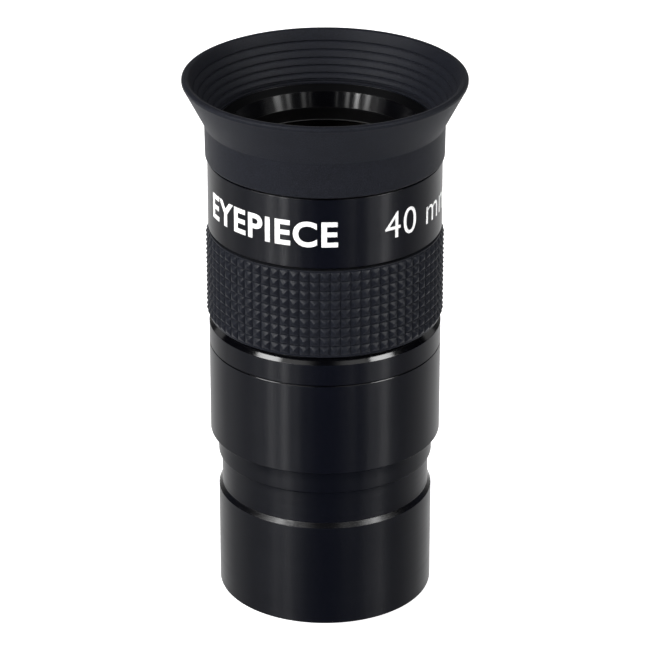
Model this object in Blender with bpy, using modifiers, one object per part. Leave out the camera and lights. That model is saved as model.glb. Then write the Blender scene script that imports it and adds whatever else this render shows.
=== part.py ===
"""Telescope eyepiece of the symmetrical doublet-pair kind, for a 1.25 inch focuser.

The optical axis is Z. The origin is the centre of the barrel's open end face, and +Z points
towards the eye. Heights below are measured from that face. Everything is turned about Z, so
each sub-part is a profile of (radius, height) points swept by a Screw modifier.

Bodies: the housing with its barrel, lenses and grip; the rubber eyecup, which can be twisted on
its spigot; and the eyecup's lip, which travels down when the cup is folded back for use with
spectacles. The cup is one moulding: sleeve, flare and lip are split only where it folds.
"""
import math

import bmesh
import bpy
from mathutils import Matrix

MM = 0.001
FIT = 0.3 * MM                      # air left between two pieces that seat on each other

# Turning: facets around each kind of piece
SHELL_FACETS = 48
INNER_FACETS = 36
SHARP_ANGLE = math.radians(25)
MERGE_DISTANCE = 0.01 * MM

# Barrel, or nosepiece: the standard 1.25 inch tube with a safety undercut and a filter thread
BARREL_R = 15.85 * MM
BARREL_EDGE = 0.2 * MM
UNDERCUT_R = 15.35 * MM
UNDERCUT_RAMP_Z = 15.86 * MM
UNDERCUT_BOTTOM_Z = 16.55 * MM
UNDERCUT_TOP_Z = 21.6 * MM
FILTER_THREAD_R = 14.1 * MM         # mean radius of the M28.5 x 0.6 thread
FILTER_THREAD_LENGTH = 4.6 * MM
FILTER_MOUTH = 0.4 * MM
BARREL_BORE_R = 13.9 * MM
STOP_SEAT_Z = 20.0 * MM
NECK_LENGTH = 4.5 * MM              # threaded neck that screws into the lower body
BARREL_NECK_R = 15.0 * MM

# Housing shells
BODY_R = 17.0 * MM
SHOULDER_Z = 25.3 * MM              # face that stops against the focuser
SHOULDER_EDGE = 0.15 * MM
COUNTERBORE_DEPTH = 0.7 * MM        # the barrel's flange sits this deep in the lower body
SEAM_Z = 39.4 * MM
SEAM_EDGE = 0.08 * MM
JOIN_LENGTH = 3.2 * MM              # threaded join of the two housings
JOIN_R = 15.2 * MM
INNER_BORE_R = 14.4 * MM
GRIP_CHAMFER = 0.75 * MM
GRIP_SEAT_Z = 43.5 * MM
GRIP_SEAT_R = 15.9 * MM
GRIP_SEAT_TOP_Z = 57.92 * MM
HOUSING_TOP_Z = 68.39 * MM
HOUSING_TOP_EDGE = 0.1 * MM

# Eye end: lens stop, polished well and the spigot that holds the eyecup
LENS_STOP_Z = 68.8 * MM
LENS_STOP_R = 13.3 * MM
LENS_STOP_TOP_Z = 70.38 * MM
WELL_R = 14.0 * MM
WELL_TOP_Z = 72.85 * MM
SPIGOT_R = 15.7 * MM
SPIGOT_TOP_Z = 73.6 * MM
SPIGOT_EDGE = 0.2 * MM
CUP_GROOVE_DEPTH = 0.5 * MM
CUP_GROOVE_Z = (70.2 * MM, 71.4 * MM)

# Rubber grip: square pyramids in rows
GRIP_Z = (44.03 * MM, 57.43 * MM)
GRIP_VALLEY_R = 16.95 * MM
GRIP_COLUMNS = 72
GRIP_ROWS = 9
GRIP_ROW_PITCH = 1.44 * MM
GRIP_LOWER_EDGE = 0.29 * MM
PYRAMID_HEIGHT = 0.43 * MM

# Lens pair: curves are radii of curvature, positive where the middle is above the edge
LENS_R = 14.1 * MM
OUTER_CURVE = 180.0 * MM
CEMENTED_CURVE = 31.0 * MM
INNER_CURVE = 43.0 * MM
FLINT_EDGE = 5.4 * MM
CROWN_EDGE = 1.9 * MM
CROWN_GAP = 0.5 * MM                # air between the two crowns, at the axis
SPACER_R = 13.2 * MM
RETAINER_R = 12.9 * MM
RETAINER_HEIGHT = 2.2 * MM
SPANNER_SLOT = (1.2 * MM, 0.9 * MM)  # width, depth

# Field stop, in the focal plane below the field lens
FIELD_STOP_R = 13.4 * MM
FIELD_STOP_OUTER_R = 14.1 * MM
FIELD_STOP_HEIGHT = 1.4 * MM
FIELD_STOP_LAND = 0.3 * MM

# Eyecup
SLEEVE_Z = (68.69 * MM, 73.6 * MM)
SLEEVE_R = (17.3 * MM, 17.37 * MM)  # at its bottom and at the fold
FOLD_Z = 73.84 * MM
FLARE_Z = (73.9 * MM, 79.6 * MM)
FLARE_SLOPE = 0.517                 # outer radius gained per unit of height
CUP_WALL = 1.28 * MM
LIP_Z = 79.9 * MM
LIP_WIDEST_Z = 80.0 * MM
LIP_TOP_Z = 80.6 * MM
LIP_R = 20.55 * MM
LIP_INNER_R = 19.55 * MM
LIP_ROUNDING = 0.3 * MM


def clear_scene():
    """Remove everything that the start-up file holds."""
    for item in list(bpy.data.objects):
        bpy.data.objects.remove(item, do_unlink=True)


def collection(name):
    """Make a collection in the scene."""
    group = bpy.data.collections.new(name)
    bpy.context.scene.collection.children.link(group)
    return group


def finish(name, colour, roughness, metallic=0.0, transmission=0.0):
    """Make a Principled material."""
    material = bpy.data.materials.new(name)
    material.use_nodes = True
    shader = material.node_tree.nodes["Principled BSDF"]
    shader.inputs["Base Color"].default_value = (*colour, 1.0)
    shader.inputs["Roughness"].default_value = roughness
    shader.inputs["Metallic"].default_value = metallic
    shader.inputs["Transmission Weight"].default_value = transmission
    material.diffuse_color = (*colour, 1.0)
    return material


def anodised(name):
    """Black anodised aluminium with a satin surface."""
    return finish(name, (0.020, 0.021, 0.025), 0.32, metallic=0.6)


def blackened(name):
    """Aluminium blackened dull, for rings in the light path."""
    return finish(name, (0.012, 0.012, 0.014), 0.7, metallic=0.3)


def rubber(name):
    """Black moulded rubber."""
    return finish(name, (0.022, 0.022, 0.026), 0.75)


def optical_glass(name):
    """Coated optical glass."""
    return finish(name, (0.80, 0.86, 0.95), 0.02, transmission=1.0)


def freeze(item):
    """Turn an object's modifiers into its mesh, smooth but for its corners."""
    bpy.context.view_layer.update()
    evaluated = item.evaluated_get(bpy.context.evaluated_depsgraph_get())
    mesh = bpy.data.meshes.new_from_object(evaluated)
    item.modifiers.clear()
    item.data = mesh
    mesh.shade_smooth()
    mesh.set_sharp_from_angle(angle=SHARP_ANGLE)


def turned(name, profile, material, facets=SHELL_FACETS):
    """Turn a profile of (radius, height) points about Z.

    The points run down the outer side, from the top. A profile that starts and ends on the axis
    makes a solid, and any other is closed into a ring.
    """
    last = len(profile) - 1
    edges = [(index, index + 1) for index in range(last)]
    if profile[0][0] > 0:
        edges.append((last, 0))
    outline = bpy.data.meshes.new(name)
    outline.from_pydata([(radius, 0.0, height) for radius, height in profile], edges, [])
    item = bpy.data.objects.new(name, outline)
    parts.objects.link(item)
    item.parent = axis
    screw = item.modifiers.new("turn", 'SCREW')
    screw.axis = 'Z'
    screw.angle = 2 * math.pi
    screw.screw_offset = 0
    screw.steps = facets
    screw.render_steps = facets
    screw.use_merge_vertices = True
    screw.merge_threshold = MERGE_DISTANCE
    freeze(item)
    item.data.materials.append(material)
    return item


def nosepiece_barrel():
    """Barrel with undercut, filter thread zone, seat for the field stop and threaded neck."""
    seat_z = SHOULDER_Z + COUNTERBORE_DEPTH - FIT
    top_z = seat_z + NECK_LENGTH
    outside = [
        (BARREL_NECK_R, top_z),
        (BARREL_NECK_R, seat_z),
        (BARREL_R, seat_z),
        (BARREL_R, UNDERCUT_TOP_Z),
        (UNDERCUT_R, UNDERCUT_TOP_Z),
        (UNDERCUT_R, UNDERCUT_BOTTOM_Z),
        (BARREL_R, UNDERCUT_RAMP_Z),
        (BARREL_R, BARREL_EDGE),
        (BARREL_R - BARREL_EDGE, 0.0),
    ]
    thread_end = FILTER_THREAD_LENGTH + FILTER_THREAD_R - BARREL_BORE_R
    inside = [
        (FILTER_THREAD_R + FILTER_MOUTH, 0.0),
        (FILTER_THREAD_R, FILTER_MOUTH),
        (FILTER_THREAD_R, FILTER_THREAD_LENGTH),
        (BARREL_BORE_R, thread_end),
        (BARREL_BORE_R, STOP_SEAT_Z),
        (INNER_BORE_R, STOP_SEAT_Z),
        (INNER_BORE_R, top_z),
    ]
    return turned("nosepiece_barrel", outside + inside, anodised("barrel_anodising"))


def field_stop_ring():
    """Ring with a thin bevelled edge that bounds the field of view."""
    bottom_z = STOP_SEAT_Z + FIT
    top_z = bottom_z + FIELD_STOP_HEIGHT
    bevel = FIELD_STOP_HEIGHT - FIELD_STOP_LAND
    profile = [
        (FIELD_STOP_OUTER_R, top_z),
        (FIELD_STOP_OUTER_R, bottom_z),
        (FIELD_STOP_R, bottom_z),
        (FIELD_STOP_R, bottom_z + FIELD_STOP_LAND),
        (FIELD_STOP_R + bevel / 3, top_z),
    ]
    return turned("field_stop_ring", profile, blackened("stop_blacking"), INNER_FACETS)


def lower_body():
    """Lower housing, screwed onto the barrel's neck and into the upper housing."""
    seat_z = SHOULDER_Z + COUNTERBORE_DEPTH
    profile = [
        (JOIN_R, SEAM_Z + JOIN_LENGTH),
        (JOIN_R, SEAM_Z),
        (BODY_R - SEAM_EDGE, SEAM_Z),
        (BODY_R, SEAM_Z - SEAM_EDGE),
        (BODY_R, SHOULDER_Z + SHOULDER_EDGE),
        (BODY_R - SHOULDER_EDGE, SHOULDER_Z),
        (BARREL_R + FIT, SHOULDER_Z),
        (BARREL_R + FIT, seat_z),
        (BARREL_NECK_R + FIT, seat_z),
        (BARREL_NECK_R + FIT, seat_z + NECK_LENGTH),
        (INNER_BORE_R, seat_z + NECK_LENGTH),
        (INNER_BORE_R, SEAM_Z + JOIN_LENGTH),
    ]
    return turned("lower_body", profile, anodised("lower_body_anodising"))


def upper_housing():
    """Upper housing: seam, grip seat, marked ring, eyecup spigot, well and lens stop."""
    seam_z = SEAM_Z + FIT
    groove_r = SPIGOT_R - CUP_GROOVE_DEPTH
    groove_bottom, groove_top = CUP_GROOVE_Z
    outside = [
        (SPIGOT_R - SPIGOT_EDGE, SPIGOT_TOP_Z),
        (SPIGOT_R, SPIGOT_TOP_Z - SPIGOT_EDGE),
        (SPIGOT_R, groove_top),
        (groove_r, groove_top),
        (groove_r, groove_bottom),
        (SPIGOT_R, groove_bottom),
        (SPIGOT_R, HOUSING_TOP_Z),
        (BODY_R - HOUSING_TOP_EDGE, HOUSING_TOP_Z),
        (BODY_R, HOUSING_TOP_Z - HOUSING_TOP_EDGE),
        (BODY_R, GRIP_SEAT_TOP_Z + SEAM_EDGE),
        (BODY_R - SEAM_EDGE, GRIP_SEAT_TOP_Z),
        (GRIP_SEAT_R, GRIP_SEAT_TOP_Z),
        (GRIP_SEAT_R, GRIP_SEAT_Z),
        (BODY_R - GRIP_CHAMFER, GRIP_SEAT_Z),
        (BODY_R, GRIP_SEAT_Z - GRIP_CHAMFER),
        (BODY_R, seam_z + SEAM_EDGE),
        (BODY_R - SEAM_EDGE, seam_z),
    ]
    inside = [
        (JOIN_R + FIT, seam_z),
        (JOIN_R + FIT, seam_z + JOIN_LENGTH),
        (INNER_BORE_R, seam_z + JOIN_LENGTH),
        (INNER_BORE_R, LENS_STOP_Z),
        (LENS_STOP_R, LENS_STOP_Z),
        (LENS_STOP_R, LENS_STOP_TOP_Z),
        (WELL_R, LENS_STOP_TOP_Z),
        (WELL_R, WELL_TOP_Z),
    ]
    return turned("upper_housing", outside + inside, anodised("upper_housing_anodising"))


def rubber_grip():
    """Rubber grip ring, its outer face raised into rows of square pyramids."""
    bottom_z, top_z = GRIP_Z
    inner_r = GRIP_SEAT_R + FIT
    first_row = bottom_z + GRIP_LOWER_EDGE
    rows = [first_row + index * GRIP_ROW_PITCH for index in range(GRIP_ROWS, -1, -1)]
    profile = [(GRIP_VALLEY_R, top_z)]
    profile += [(GRIP_VALLEY_R, height) for height in rows]
    profile += [(GRIP_VALLEY_R, bottom_z), (inner_r, bottom_z), (inner_r, top_z)]
    item = turned("rubber_grip", profile, rubber("grip_rubber"), GRIP_COLUMNS)

    half_column = Matrix.Rotation(math.pi / GRIP_COLUMNS, 4, 'Z')
    item.data.transform(half_column)
    shape = bmesh.new()
    shape.from_mesh(item.data)
    middle_r = (inner_r + GRIP_VALLEY_R) / 2

    def is_cell(face):
        centre = face.calc_center_median()
        return centre.xy.length > middle_r and rows[-1] < centre.z < rows[0]

    cells = [face for face in shape.faces if is_cell(face)]
    bmesh.ops.poke(shape, faces=cells, offset=PYRAMID_HEIGHT, center_mode='MEAN')
    shape.to_mesh(item.data)
    shape.free()
    item.data.shade_flat()
    return item


def sag(curve, radius):
    """Depth of a spherical surface at a radius from the axis."""
    return curve - math.sqrt(curve ** 2 - radius ** 2)


def lens_surface(edge_z, curve, steps):
    """Points of one face of a lens, from the axis out to its edge."""
    side = math.copysign(1.0, curve)
    points = []
    for index in range(steps + 1):
        radius = LENS_R * index / steps
        rise = sag(abs(curve), LENS_R) - sag(abs(curve), radius)
        points.append((radius, edge_z + side * rise))
    return points


def lens(name, top_z, top_curve, bottom_z, bottom_curve):
    """Lens element between two spherical faces."""
    steps = {OUTER_CURVE: 2, CEMENTED_CURVE: 5, INNER_CURVE: 4}
    top = lens_surface(top_z, top_curve, steps[abs(top_curve)])
    bottom = lens_surface(bottom_z, bottom_curve, steps[abs(bottom_curve)])
    return turned(name, top + bottom[::-1], optical_glass(name + "_glass"), INNER_FACETS)


def lens_group():
    """Two cemented doublets with their crowns facing, the spacer and the retaining ring."""
    eye_top = LENS_STOP_Z - FIT
    eye_joint = eye_top - FLINT_EDGE
    eye_bottom = eye_joint - FIT - CROWN_EDGE
    field_top = eye_bottom - CROWN_GAP - 2 * sag(INNER_CURVE, LENS_R)
    field_joint = field_top - CROWN_EDGE
    field_bottom = field_joint - FIT - FLINT_EDGE
    lens("eye_lens_flint", eye_top, -OUTER_CURVE, eye_joint, CEMENTED_CURVE)
    lens("eye_lens_crown", eye_joint - FIT, CEMENTED_CURVE, eye_bottom, -INNER_CURVE)
    lens("field_lens_crown", field_top, INNER_CURVE, field_joint, -CEMENTED_CURVE)
    lens("field_lens_flint", field_joint - FIT, -CEMENTED_CURVE, field_bottom, OUTER_CURVE)

    bulge = sag(INNER_CURVE, LENS_R) - sag(INNER_CURVE, SPACER_R)
    spacer_top = eye_bottom - bulge - FIT
    spacer_bottom = field_top + bulge + FIT
    spacer = [
        (LENS_R, spacer_top),
        (LENS_R, spacer_bottom),
        (SPACER_R, spacer_bottom),
        (SPACER_R, spacer_top),
    ]
    turned("lens_spacer_ring", spacer, blackened("spacer_blacking"), INNER_FACETS)
    lens_retaining_ring(field_bottom - FIT)


def lens_retaining_ring(top_z):
    """Threaded ring that holds the lenses, with two slots for a pin spanner."""
    bottom_z = top_z - RETAINER_HEIGHT
    profile = [
        (LENS_R, top_z),
        (LENS_R, bottom_z),
        (RETAINER_R, bottom_z),
        (RETAINER_R, top_z),
    ]
    ring = turned("lens_retaining_ring", profile, blackened("retainer_blacking"), INNER_FACETS)
    width, depth = SPANNER_SLOT
    bpy.ops.mesh.primitive_cube_add(size=1.0, location=(0.0, 0.0, bottom_z))
    cutter = bpy.context.object
    cutter.name = "spanner_slot_cutter"
    cutter.scale = (3 * LENS_R, width, 2 * depth)
    cutter.hide_render = True
    cutter.display_type = 'WIRE'
    for group in cutter.users_collection:
        group.objects.unlink(cutter)
    cutters.objects.link(cutter)
    slots = ring.modifiers.new("spanner_slots", 'BOOLEAN')
    slots.operation = 'DIFFERENCE'
    slots.object = cutter
    return ring


def eyecup_sleeve():
    """Lower part of the cup, which grips the spigot by a bead in its groove."""
    bottom_z, top_z = SLEEVE_Z
    bottom_r, fold_r = SLEEVE_R
    inner_r = SPIGOT_R + FIT
    bead_r = inner_r - CUP_GROOVE_DEPTH
    groove_bottom, groove_top = CUP_GROOVE_Z
    profile = [
        (fold_r, top_z),
        (bottom_r, bottom_z),
        (inner_r, bottom_z),
        (inner_r, groove_bottom + FIT),
        (bead_r, groove_bottom + FIT),
        (bead_r, groove_top - FIT),
        (inner_r, groove_top - FIT),
        (inner_r, top_z),
    ]
    item = turned("eyecup_sleeve", profile, rubber("eyecup_sleeve_rubber"))
    item.parent = cup_turn
    return item


def flare_radius(height):
    """Outer radius of the flared cup wall."""
    return SLEEVE_R[1] + FLARE_SLOPE * (height - FOLD_Z)


def eyecup_flare():
    """Flared wall of the cup, which turns inside out as the cup folds down."""
    bottom_z, top_z = FLARE_Z
    profile = [
        (flare_radius(top_z), top_z),
        (flare_radius(bottom_z), bottom_z),
        (flare_radius(bottom_z) - CUP_WALL, bottom_z),
        (flare_radius(top_z) - CUP_WALL, top_z),
    ]
    item = turned("eyecup_flare", profile, rubber("eyecup_flare_rubber"))
    item.parent = cup_turn
    return item


def eyecup_rim():
    """Rounded lip of the cup."""
    profile = [
        (LIP_R - 2 * LIP_ROUNDING, LIP_TOP_Z),
        (LIP_R - LIP_ROUNDING / 2, LIP_TOP_Z - LIP_ROUNDING / 2),
        (LIP_R, LIP_WIDEST_Z),
        (flare_radius(LIP_Z), LIP_Z),
        (flare_radius(LIP_Z) - CUP_WALL, LIP_Z),
        (LIP_INNER_R, LIP_TOP_Z),
    ]
    item = turned("eyecup_rim", profile, rubber("eyecup_rim_rubber"))
    item.parent = lip_slide
    return item


def guide(name, height, parent=None):
    """Empty on the optical axis that a group of pieces hangs from."""
    item = bpy.data.objects.new(name, None)
    parts.objects.link(item)
    item.parent = parent
    item.empty_display_size = 5 * MM
    item.matrix_parent_inverse.identity()
    item.location = (0.0, 0.0, height)
    return item


clear_scene()
parts = collection("telescope_eyepiece")
cutters = collection("cutters")
axis = guide("optical_axis", 0.0)
cup_turn = guide("eyecup_turn_axis", 0.0, axis)
lip_slide = guide("eyecup_fold_axis", 0.0, cup_turn)

nosepiece_barrel()
field_stop_ring()
lower_body()
upper_housing()
rubber_grip()
lens_group()
eyecup_sleeve()
eyecup_flare()
eyecup_rim()
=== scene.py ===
"""Looks of a 1.25 inch telescope eyepiece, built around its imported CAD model.

The optical axis is Z, with its zero at the barrel's open end and the eye at the top. Sizes in the
classes are millimetres, and meshes are metres. Turned pieces are outlines of (radius, height)
corners, with a rounding and a finish for each, swept once about Z.
"""

import logging
import math
from collections.abc import Sequence
from dataclasses import dataclass
from enum import Enum

import bmesh
import bpy
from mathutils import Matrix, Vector


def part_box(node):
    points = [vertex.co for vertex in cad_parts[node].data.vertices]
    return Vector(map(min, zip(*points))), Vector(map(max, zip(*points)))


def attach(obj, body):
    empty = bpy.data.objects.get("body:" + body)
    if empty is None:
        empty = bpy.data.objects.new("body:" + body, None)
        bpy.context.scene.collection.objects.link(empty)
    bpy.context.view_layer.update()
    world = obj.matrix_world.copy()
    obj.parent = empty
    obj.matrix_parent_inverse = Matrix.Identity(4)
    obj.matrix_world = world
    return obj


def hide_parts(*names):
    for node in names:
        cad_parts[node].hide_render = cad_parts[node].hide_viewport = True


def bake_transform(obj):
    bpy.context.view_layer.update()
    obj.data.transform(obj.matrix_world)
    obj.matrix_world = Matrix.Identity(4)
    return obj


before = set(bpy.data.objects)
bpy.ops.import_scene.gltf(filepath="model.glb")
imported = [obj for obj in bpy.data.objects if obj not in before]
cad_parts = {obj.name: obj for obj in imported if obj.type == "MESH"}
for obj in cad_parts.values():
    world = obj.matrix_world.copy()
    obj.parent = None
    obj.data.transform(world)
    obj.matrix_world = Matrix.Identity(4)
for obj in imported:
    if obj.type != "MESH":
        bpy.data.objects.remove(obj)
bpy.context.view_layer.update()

Item = bpy.types.Object
Tree = bpy.types.NodeTree
Node = bpy.types.Node
Socket = bpy.types.NodeSocket

MM = 0.001
TURN_STEPS = 192                     # faces around a turned piece
ARC_STEP = math.radians(18)          # turn between neighbouring points of a rounding
GUARD = 0.03                         # mm, loop beside a rounding that keeps the flat face flat
SHARP_ANGLE = math.radians(32)
WELD_DISTANCE = 1e-6
CAD_TOLERANCE = 0.32 * MM            # the CAD leaves 0.3 mm round pieces that touch here
FLOOR_DROP = 0.2                     # mm, floor below the barrel's end
CAPITAL_SHARE = 0.73                 # height of a capital as a share of the font's size
LOG = logging.getLogger("eyepiece")


# ---------------------------------------------------------------- nodes and objects


def linear(colour: str) -> tuple[float, float, float, float]:
    """Turn an sRGB hex colour, such as "202024", to linear red, green, blue and an alpha of 1."""
    values = [int(colour[index:index + 2], 16) / 255 for index in (0, 2, 4)]
    return (*(v / 12.92 if v <= 0.04045 else ((v + 0.055) / 1.055) ** 2.4 for v in values), 1.0)


def add_node(
    tree: Tree, kind: str, inputs: dict[str | int, object] | None = None, **settings: object
) -> Node:
    """Add a node.

    Args:
        tree: node tree of a material, world or modifier.
        kind: the node's type name.
        inputs: a constant or a socket for each input, by name or index.
        settings: properties of the node.

    Returns:
        The new node.
    """
    node = tree.nodes.new(kind)
    for key, value in settings.items():
        setattr(node, key, value)
    for key, value in (inputs or {}).items():
        if isinstance(value, Socket):
            tree.links.new(value, node.inputs[key])
        else:
            node.inputs[key].default_value = value
    return node


def calculate(tree: Tree, operation: str, *terms: object, clamp: bool = False) -> Socket:
    """Do one step of arithmetic on sockets or numbers."""
    terms = dict(enumerate(terms))
    return add_node(tree, "ShaderNodeMath", terms, operation=operation, use_clamp=clamp).outputs[0]


def remap(
    tree: Tree, value: Socket, low: float = 0.0, high: float = 1.0,
    start: float = 0.0, end: float = 1.0, curve: str = "LINEAR",
) -> Socket:
    """Map the values from low to high onto start to end."""
    inputs = {"Value": value, "From Min": low, "From Max": high, "To Min": start, "To Max": end}
    return add_node(tree, "ShaderNodeMapRange", inputs, interpolation_type=curve).outputs[0]


def on_object(tree: Tree) -> Socket:
    """Place on the object."""
    return add_node(tree, "ShaderNodeTexCoord").outputs["Object"]


def noise(
    tree: Tree, where: Socket, size: float, detail: float = 2.0, roughness: float = 0.5
) -> Socket:
    """Make noise from 0 to 1.

    Args:
        tree: the material's tree.
        where: place to read it at.
        size: width of its features, mm.
        detail: levels of finer noise.
        roughness: strength of each finer level.

    Returns:
        The noise's socket.
    """
    inputs = {"Vector": where, "Scale": 1.0 / (size * MM), "Detail": detail, "Roughness": roughness}
    return add_node(tree, "ShaderNodeTexNoise", inputs).outputs["Fac"]


def relief(tree: Tree, height: Socket, strength: float, depth: float) -> Socket:
    """Normals of a surface whose height, up to a depth in mm, comes from a socket."""
    inputs = {"Height": height, "Strength": strength, "Distance": depth * MM}
    return add_node(tree, "ShaderNodeBump", inputs).outputs[0]


def two_tone(tree: Tree, share: Socket, low: str, high: str) -> Socket:
    """Run from the sRGB hex colour low, where the share is 0, to high, where it is 1."""
    ramp = add_node(tree, "ShaderNodeValToRGB", {"Fac": share})
    ramp.color_ramp.elements[0].color = linear(low)
    ramp.color_ramp.elements[1].color = linear(high)
    return ramp.outputs["Color"]


def add_object(name: str, data: bpy.types.ID) -> Item:
    """Put a new object in the scene."""
    item = bpy.data.objects.new(name, data)
    bpy.context.scene.collection.objects.link(item)
    return item


def final_mesh(item: Item) -> bpy.types.Mesh:
    """Mesh of an object after its modifiers."""
    bpy.context.view_layer.update()
    graph = bpy.context.evaluated_depsgraph_get()
    return bpy.data.meshes.new_from_object(item.evaluated_get(graph))


# ---------------------------------------------------------------- finishes


@dataclass(frozen=True)
class Finish:
    """A material whose colour varies between two tones.

    Attributes:
        name: its name.
        colour: sRGB hex of its main tone.
        other: sRGB hex of the tone where it is worn, dusty, thin or mixed.
    """
    name: str
    colour: str
    other: str

    def look(self, tree: Tree) -> dict[str, object]:
        """Give the shader's inputs."""
        raise NotImplementedError

    def make(self) -> bpy.types.Material:
        """Build the material."""
        material = bpy.data.materials.new(self.name)
        material.use_nodes = True
        tree = material.node_tree
        tree.nodes.clear()
        shader = add_node(tree, "ShaderNodeBsdfPrincipled", self.look(tree))
        add_node(tree, "ShaderNodeOutputMaterial", {"Surface": shader.outputs[0]})
        return material


@dataclass(frozen=True)
class TurnedMetal(Finish):
    """Aluminium turned on a lathe, then black anodised.

    The oxide layer is a clear film of IOR 1.65 dyed black, so the metal looks like black glass
    that the cutting tool left faint rings in. The rings stretch reflections along the axis.

    Attributes:
        roughness: mean roughness.
        anisotropy: how far the rings stretch a reflection along the axis.
        ring: spacing of the tool's rings, mm; a real feed is too fine to show, so it is coarsened.
        ring_depth: strength of the rings' relief, from 0 to 1.
        specular: specular level; a matt, porous oxide is below the usual 0.5.
    """
    roughness: float
    anisotropy: float
    ring: float
    ring_depth: float
    specular: float = 0.5

    def look(self, tree: Tree) -> dict[str, object]:
        """Give the shader's inputs."""
        where = on_object(tree)
        axes = add_node(tree, "ShaderNodeSeparateXYZ", {0: where}).outputs
        flat = add_node(tree, "ShaderNodeCombineXYZ", {0: axes[0], 1: axes[1]}).outputs[0]
        radius = add_node(tree, "ShaderNodeVectorMath", {0: flat}, operation="LENGTH")
        ringed = add_node(tree, "ShaderNodeCombineXYZ", {0: radius.outputs["Value"], 2: axes[2]})
        rings = noise(tree, ringed.outputs[0], self.ring, 1.5, 0.6)
        mottle = calculate(tree, "MULTIPLY_ADD", noise(tree, where, 9.0, 3.0), 0.35, rings)
        share = remap(tree, mottle, 0.35, 1.0)
        low, high = self.roughness * 0.85, self.roughness * 1.15
        tangent = add_node(tree, "ShaderNodeTangent", direction_type="RADIAL", axis="Z")
        return {
            "Base Color": two_tone(tree, share, self.colour, self.other),
            "Roughness": remap(tree, share, start=low, end=high),
            "IOR": 1.65,
            "Specular IOR Level": self.specular,
            "Anisotropic": self.anisotropy,
            "Anisotropic Rotation": 0.25,
            "Normal": relief(tree, rings, self.ring_depth, 0.01),
            "Tangent": tangent.outputs[0],
        }


@dataclass(frozen=True)
class MouldedRubber(Finish):
    """Black rubber from a fine-blasted mould: matt, with specks of filler at the skin.

    Attributes:
        grain: width of the mould's grain, mm, coarsened to show.
        roughness: mean roughness.
        depth: strength of the grain's relief.
        specular: specular level; the blasted skin shines less than the usual 0.5.
    """
    grain: float
    roughness: float
    depth: float
    specular: float

    def look(self, tree: Tree) -> dict[str, object]:
        """Give the shader's inputs."""
        where = on_object(tree)
        grain = noise(tree, where, self.grain, 2.0, 0.65)
        cloud = noise(tree, where, 3.5, 4.0, 0.6)
        specks = remap(tree, grain, 0.42, 0.78)
        patches = calculate(tree, "MULTIPLY_ADD", cloud, 0.3, specks, clamp=True)
        low, high = self.roughness - 0.06, self.roughness + 0.08
        return {
            "Base Color": two_tone(tree, patches, self.colour, self.other),
            "Roughness": remap(tree, grain, start=low, end=high),
            "IOR": 1.5,
            "Specular IOR Level": self.specular,
            "Sheen Weight": 0.04,
            "Sheen Roughness": 0.5,
            "Normal": relief(tree, grain, self.depth, 0.03),
        }


@dataclass(frozen=True)
class PrintedInk(Finish):
    """Pad-printed ink: a thin, slightly uneven film with a soft gloss."""

    def look(self, tree: Tree) -> dict[str, object]:
        """Give the shader's inputs."""
        film = noise(tree, on_object(tree), 0.4, 3.0)
        cover = remap(tree, film, 0.25, 0.5)
        return {
            "Base Color": two_tone(tree, cover, self.other, self.colour),
            "Roughness": 0.45,
            "Normal": relief(tree, film, 0.3, 0.005),
        }


@dataclass(frozen=True)
class CoatedGlass(Finish):
    """Optical glass with an anti-reflection coating.

    The coating is a quarter wave of magnesium fluoride, 100 nm thick with an IOR of 1.38. It
    leaves a faint blue reflection, and dust scatters a little light.

    Attributes:
        ior: refractive index of the glass.
    """
    ior: float

    def look(self, tree: Tree) -> dict[str, object]:
        """Give the shader's inputs."""
        dust = noise(tree, on_object(tree), 1.5, 5.0, 0.7)
        return {
            "Base Color": two_tone(tree, dust, self.colour, self.other),
            "Roughness": remap(tree, dust, 0.45, 0.8, end=0.04),
            "Transmission Weight": 1.0,
            "IOR": self.ior,
            "Thin Film Thickness": 100.0,
            "Thin Film IOR": 1.38,
        }


@dataclass(frozen=True)
class LitAcrylic(Finish):
    """Opal sheet lit from below, its glow faded out at its middle into painted shade under the barrel.

    Attributes:
        glow: strength of the light.
        painted_shade_radii: radii between which the light fades out into the painted shade under the
            barrel, mm.
    """
    glow: float
    painted_shade_radii: tuple[float, float]

    def look(self, tree: Tree) -> dict[str, object]:
        """Give the shader's inputs."""
        where = on_object(tree)
        reach = add_node(tree, "ShaderNodeVectorMath", {0: where}, operation="LENGTH")
        low, high = self.painted_shade_radii[0] * MM, self.painted_shade_radii[1] * MM
        # The glow fades out under the barrel: painted shade where the barrel stands on the sheet.
        light = remap(tree, reach.outputs["Value"], low, high, end=self.glow, curve="SMOOTHSTEP")
        return {
            "Base Color": two_tone(tree, noise(tree, where, 250.0), self.colour, self.other),
            "Roughness": 0.9,
            "Specular IOR Level": 0.0,
            "Emission Color": linear("ffffff"),
            "Emission Strength": light,
        }


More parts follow.
